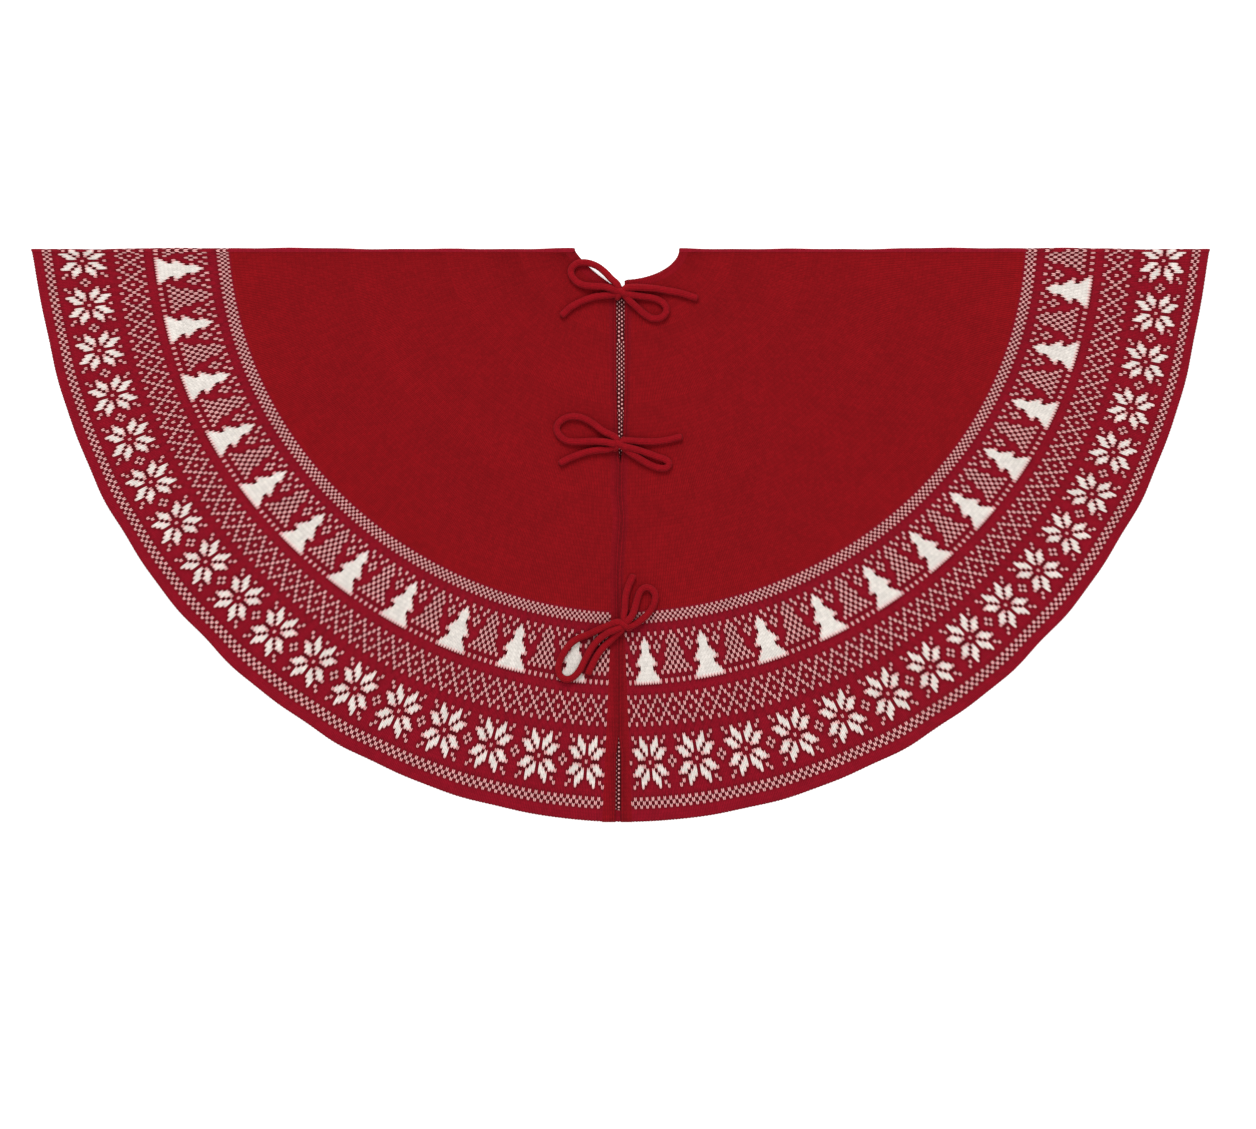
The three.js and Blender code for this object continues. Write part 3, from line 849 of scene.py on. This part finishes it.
class Nodes:
    """A material's node tree, with short ways to add to it."""

    def __init__(self, name):
        self.material = bpy.data.materials.new(name)
        self.material.use_nodes = True
        self.tree = self.material.node_tree
        self.tree.nodes.clear()

    def add(self, kind, inputs=(), **settings):
        node = self.tree.nodes.new("ShaderNode" + kind)
        for key, value in settings.items():
            setattr(node, key, value)
        for key, value in dict(inputs).items():
            if isinstance(value, bpy.types.NodeSocket):
                self.tree.links.new(value, node.inputs[key])
            else:
                node.inputs[key].default_value = value
        return node

    def math(self, operation, *values, clamp=False):
        inputs = dict(enumerate(values))
        return self.add("Math", inputs, operation=operation, use_clamp=clamp).outputs[0]

    def noise(self, place, scale, detail, rough):
        inputs = {"Vector": place, "Scale": scale, "Detail": detail, "Roughness": rough}
        return self.add("TexNoise", inputs).outputs[0]

    def mix(self, share, a, b):
        return self.add("Mix", {0: share, 6: a, 7: b}, data_type="RGBA").outputs[2]

    def bead(self, over, down):
        """The height of a yarn's bulge, from how far across and how far down its stretch a point is."""
        across = self.math("SINE", self.math("MULTIPLY", over, math.pi))
        along = self.math("SINE", self.math("MULTIPLY", down, math.pi))
        along = self.math("MULTIPLY_ADD", self.math("POWER", along, 0.5), 0.5, 0.5)
        return self.math("MULTIPLY", self.math("POWER", across, 0.6), along)

    def finish_yarn(self, yarn, bead, uv, painted_bulge_shade, depth):
        """Uneven tone, fuzz, painted shade in the hollows and painted light on the bulges, and bump over a
        yarn colour.
        """
        place = self.add("TexCoord").outputs["Object"]
        fuzz = self.noise(place, 2200.0, 3.0, 0.65)
        blotch = self.noise(place, 38.0, 4.0, 0.6)
        cell = self.add("VectorMath", {0: uv}, operation="FLOOR").outputs[0]
        stitch = self.add("TexWhiteNoise", {"Vector": cell}, noise_dimensions="2D").outputs[0]
        # Painted shade and light across each stitch: darker in the hollows between the yarn's bulges, lighter
        # on their tops; then uneven tone.
        shade_and_tone = self.math("MULTIPLY_ADD", bead, painted_bulge_shade, 1 - painted_bulge_shade * 0.62)
        for value, spread in ((blotch, 0.26), (stitch, 0.16), (fuzz, 0.34)):
            shade_and_tone = self.math("MULTIPLY", shade_and_tone, self.math("MULTIPLY_ADD", value, spread, 1 - spread / 2))
        colour = self.add("VectorMath", {0: yarn, 1: shade_and_tone}, operation="MULTIPLY").outputs[0]
        height = self.math("MULTIPLY_ADD", fuzz, 0.35, bead)
        bump = self.add("Bump", {"Strength": 0.7, "Distance": depth, "Height": height}).outputs[0]
        rough = self.math("MULTIPLY_ADD", fuzz, 0.14, 0.84)
        shader = self.add("BsdfPrincipled", {"Base Color": colour, "Roughness": rough, "Normal": bump})
        shader.inputs["Specular IOR Level"].default_value = 0.06
        shader.inputs["Sheen Weight"].default_value = 0.02
        shader.inputs["Sheen Roughness"].default_value = 0.6
        self.add("OutputMaterial", {"Surface": shader.outputs[0]})


def knit_material(name, red, cream, depth=0.0006, painted_bulge_shade=0.5):
    """Two-legged stitches of yarn. The ground yarn crowds lone white stitches, and has painted shade beside
    them.
    """
    n = Nodes(name)
    uv = n.add("UVMap", uv_map="Stitch").outputs[0]
    parts = n.add("SeparateXYZ", {0: uv}).outputs
    over = n.math("FRACT", n.math("MULTIPLY", parts[0], 2.0))
    down = n.math("FRACT", parts[1])
    bead = n.bead(over, down)
    white = n.add("Attribute", attribute_name="white").outputs["Fac"]
    cover = n.add("Attribute", attribute_name="cover").outputs["Fac"]
    shown = n.math("ADD", bead, n.math("MULTIPLY_ADD", cover, 2.0, -1.0))
    shown = n.add("MapRange", {0: shown, 1: 0.35, 2: 0.72}, interpolation_type="SMOOTHSTEP").outputs[0]
    shown = n.math("MULTIPLY", shown, white)
    # Painted shade: the red ground is darkened beside white stitches and down the slit, more in the yarn's
    # hollows than on its bulges.
    near = n.add("Attribute", attribute_name="near").outputs["Fac"]
    shade = n.math("MULTIPLY", near, n.math("MULTIPLY_ADD", bead, -1.0, 2.0))
    shade = n.math("MULTIPLY", shade, n.math("SUBTRACT", 1.0, white))
    ground = n.add("VectorMath", {0: linear(red)[:3], 1: n.math("SUBTRACT", 1.0, shade, clamp=True)},
                   operation="MULTIPLY").outputs[0]
    together = n.add("MapRange", {0: cover, 1: 0.5, 2: 0.95}, interpolation_type="SMOOTHSTEP").outputs[0]
    yarn = n.mix(shown, ground, n.mix(together, linear(LONE_CREAM), linear(cream)))
    n.finish_yarn(yarn, bead, uv, painted_bulge_shade, depth)
    return n.material


def inside_material(name, red, cream, depth=0.0005, painted_bulge_shade=0.8):
    """The wrong side of two-colour double knit: small purl bumps of both yarns by turns."""
    n = Nodes(name)
    uv = n.add("UVMap", uv_map="Stitch").outputs[0]
    small = n.add("VectorMath", {0: uv, 1: (1.0, 1.9, 1.0)}, operation="MULTIPLY").outputs[0]
    parts = n.add("SeparateXYZ", {0: small}).outputs
    bead = n.bead(n.math("FRACT", parts[0]), n.math("FRACT", parts[1]))
    cell = n.math("ADD", n.math("FLOOR", parts[0]), n.math("FLOOR", parts[1]))
    turn = n.math("MULTIPLY", n.math("FRACT", n.math("MULTIPLY", cell, 0.5)), 2.0)
    shown = n.add("MapRange", {0: bead, 1: 0.55, 2: 0.9}, interpolation_type="SMOOTHSTEP").outputs[0]
    yarn = n.mix(n.math("MULTIPLY", turn, shown), linear(red), linear(cream))
    n.finish_yarn(yarn, bead, small, painted_bulge_shade, depth)
    return n.material


def floor_material():
    """Plain white, with a slight glow that keeps the shadows faint."""
    n = Nodes("floor")
    place = n.add("TexCoord").outputs["Object"]
    grain = n.add("TexNoise", {"Vector": place, "Scale": 60.0, "Detail": 2.0}).outputs[0]
    rough = n.math("MULTIPLY_ADD", grain, 0.1, 0.8)
    shader = n.add("BsdfPrincipled", {"Base Color": (0.93, 0.93, 0.93, 1), "Roughness": rough})
    shader.inputs["Specular IOR Level"].default_value = 0.1
    shader.inputs["Emission Color"].default_value = (1, 1, 1, 1)
    shader.inputs["Emission Strength"].default_value = FLOOR_GLOW
    n.add("OutputMaterial", {"Surface": shader.outputs[0]})
    return n.material


MATERIALS = {
    "field": knit_material("field_knit", FIELD_RED, CREAM),
    "border": knit_material("border_knit", BORDER_RED, CREAM),
    "edge": knit_material("edge_knit", EDGE_RED, CREAM),
    "hem": knit_material("hem_knit", BORDER_RED, CREAM),
    "inside": inside_material("inside_knit", SHADED_INSIDE_RED, SHADED_INSIDE_CREAM),
    "cord": knit_material("cord_knit", CORD_RED, CREAM),
}


# ---------------------------------------------------------------- the camera and the lights

def camera():
    data = bpy.data.cameras.new("camera")
    data.lens = LENS
    data.sensor_width = 36
    data.clip_end = 20
    made = bpy.data.objects.new("camera", data)
    bpy.context.scene.collection.objects.link(made)
    made.location = (VIEW_X, VIEW_Y, VIEW_DISTANCE)
    bpy.context.scene.camera = made


def area_light(name, location, target, size, power):
    data = bpy.data.lights.new(name, "AREA")
    data.shape = "SQUARE"
    data.size = size
    data.energy = power
    made = bpy.data.objects.new(name, data)
    bpy.context.scene.collection.objects.link(made)
    made.location = location
    made.rotation_mode = "QUATERNION"
    made.rotation_quaternion = (Vector(target) - Vector(location)).to_track_quat("-Z", "Y")


def studio():
    """Soft light from a white sky and two lamps, and a plain floor."""
    world = bpy.data.worlds.new("world")
    bpy.context.scene.world = world
    world.use_nodes = True
    background = world.node_tree.nodes["Background"]
    background.inputs[0].default_value = (1, 1, 1, 1)
    background.inputs[1].default_value = WORLD_LIGHT
    area_light("key", location=(-0.4, 2.2, 2.6), target=(0, 0.1, 0), size=1.4, power=78)
    area_light("fill", location=(0.6, -1.2, 3.4), target=(0, 0, 0), size=2.5, power=38)
    bpy.context.scene.view_settings.view_transform = "Standard"
    mesh = bpy.data.meshes.new("floor")
    corners = [(x * FLOOR_SIDE, y * FLOOR_SIDE, FLOOR_LOW) for x, y in ((-1, -1), (1, -1), (1, 1), (-1, 1))]
    mesh.from_pydata(corners, [], [(0, 1, 2, 3)])
    mesh.materials.append(floor_material())
    floor = bpy.data.objects.new("floor", mesh)
    bpy.context.scene.collection.objects.link(floor)


# ---------------------------------------------------------------- the pieces

def tie(bow, side):
    """One tie of a bow: from its tack through the knot, round its loop, and through the knot to its tail."""
    parts = BOWS[bow]
    other = "right" if side == "left" else "left"
    x, y = parts["knot"]
    sign = -1 if side == "left" else 1
    loop, tail = parts[f"{side}_loop"], parts[f"{other}_tail"]
    tack = [(x + sign * 5.5, y - sign * 1.5, 3.8), (x + sign * 1.5, y, 5.6)]
    route = lifted(tack + list(loop) + [(x, y, 8.0)] + list(tail))
    patches, centres = tube_patches(smooth_route(route, CORD_ROW / 2), TIE_RADIUS, twist=CORD_TWIST)
    piece = knit(f"{bow}_{side}_tie", patches, 1, MATERIALS["cord"])
    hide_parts(f"{bow}_{side}_loop", f"{bow}_{other}_tail")
    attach(piece, f"{side}_front")


def tack(bow, side):
    """A tie's end, sewn flat to the slit's edge under the knot."""
    low, high = [np.array(corner) / MM - (0, FOLD_Y, 0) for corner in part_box(f"{bow}_{side}_tack")]
    middle = (low + high) / 2
    reach = (high[0] - low[0]) / 2
    ends = [middle - (reach * TACK_LENGTH, 0, 0), middle + (reach * TACK_LENGTH, 0, 0)]
    route = np.array([ends[0] + (ends[1] - ends[0]) * t for t in np.linspace(0, 1, 5)])
    patches, _ = tube_patches(route, (high[1] - low[1]) / 2, flat=TACK_FLAT)
    piece = knit(f"{bow}_{side}_tie_tack", patches, 1, MATERIALS["cord"])
    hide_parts(f"{bow}_{side}_tack")
    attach(piece, f"{side}_front")


def knot(bow):
    """A bow's knot: the turns of the two ties round each other."""
    x, y = BOWS[bow]["knot"]
    low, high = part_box(f"{bow}_knot")
    z = (low.z + high.z) / 2 / MM
    made = []
    for turn in KNOT_TURNS:
        route = smooth_route([(x + a, y + b, z + c) for a, b, c in turn], CORD_ROW / 2)
        made += tube_patches(route, KNOT_RADIUS)[0]
    piece = knit(f"{bow}_tie_knot", made, 1, MATERIALS["cord"])
    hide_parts(f"{bow}_knot")
    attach(piece, "left_front")


def panel(name, patches, sign, material, body, slot, *nodes):
    """A piece of cloth that rides on a body and replaces some of the CAD's nodes."""
    piece = knit(name, patches, sign, MATERIALS[material], -1 if "left" in name else 1)
    if nodes:
        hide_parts(*nodes)
    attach(piece, body)
    return piece


def quarter(side, front):
    """The cloth of one quarter of the skirt: its field and border, both sides of each, and its edges."""
    body = f"{side}_front" if front else "back_half"
    cad = f"{side}_front" if front else "back"
    stem = f"{side}_front" if front else f"back_{side}"
    out = (1 if side == "right" else -1) * (1 if front else -1)
    parts = (("field", field_patches, "plain_knit"), ("border", border_patches, "jacquard_knit"))
    for part, make, slot in parts:
        face = panel(f"{stem}_{part}_face", make(side, front, True), out, part, body, slot, f"{cad}_{part}")
        inside = panel(f"{stem}_{part}_inside", make(side, front, False), -out, "inside", body, slot)
    hem = panel(f"{stem}_hem_turning", hem_patches(side, front), out, "hem", body, "edge_knit",
                f"{cad}_hem_edge")
    neck = panel(f"{stem}_neck_turning", neck_patches(side, front), -out, "edge", body, "edge_knit",
                 f"{cad}_neck_edge")
    edges = {"field": [neck], "border": [hem]}
    if front:
        band = panel(f"{side}_slit_turning", slit_patches(side), -out, "edge", body, "edge_knit",
                     f"{side}_slit_band")
        edges["field"].append(band)


def fold_roll(side):
    """The knitting round the fold and the strip in its crease, which bend from the back to the front."""
    sign = -1 if side == "right" else 1
    piece = knit(f"{side}_fold_roll", roll_patches(side), sign, MATERIALS["border"])
    across_fold(piece)
    inside = knit(f"{side}_fold_inside", [crease_patch(side)], sign, MATERIALS["inside"])
    across_fold(inside)


def across_fold(piece):
    """Bakes a piece's placement into its mesh."""
    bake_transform(piece)


camera()
for name in BOWS:
    for half in ("left", "right"):
        tie(name, half)
        tack(name, half)
    knot(name)
for half in ("left", "right"):
    quarter(half, True)
    quarter(half, False)
    fold_roll(half)
studio()
